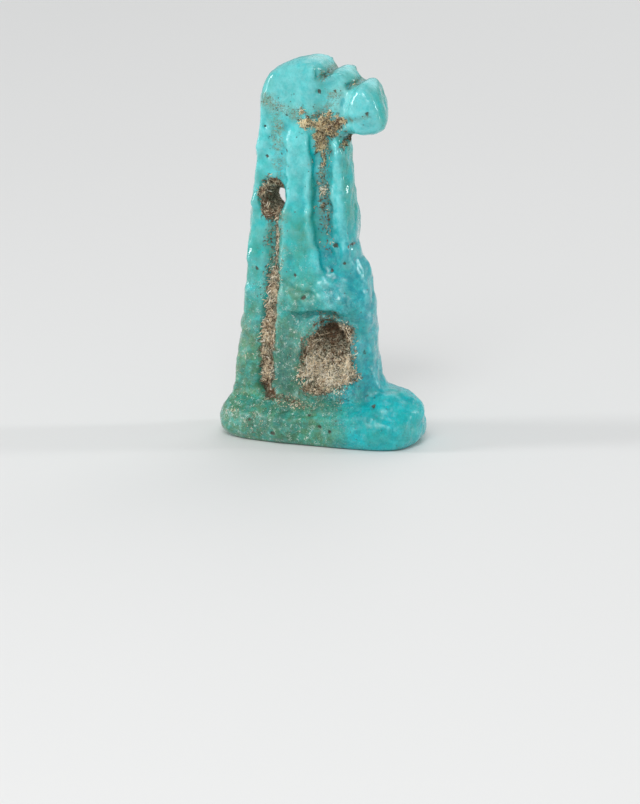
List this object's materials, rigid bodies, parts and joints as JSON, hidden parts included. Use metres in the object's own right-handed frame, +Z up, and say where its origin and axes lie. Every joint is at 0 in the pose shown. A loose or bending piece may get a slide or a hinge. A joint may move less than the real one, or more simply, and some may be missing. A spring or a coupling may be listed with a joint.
{
  "type": "faience amulet",
  "caption": "Standing hippopotamus goddess amulet with blunt muzzle, hanging arms, recessed web between striding legs, back pillar with a string hole, and rounded base.",
  "frame": {"origin": "on the underside of the base, at the middle of the amulet's box seen from above", "axes": "+Z up the figure, which faces -Y and stands on its own base; its right side, with the leg that stands back, is at -X"},
  "size_m": [0.0096, 0.02, 0.0372],
  "materials": {
    "turquoise_faience": "worn glossy glaze with burial dirt in the recesses"
  },
  "bodies": {
    "root": {"taweret_amulet": "turquoise_faience"}
  },
  "joints": []
}
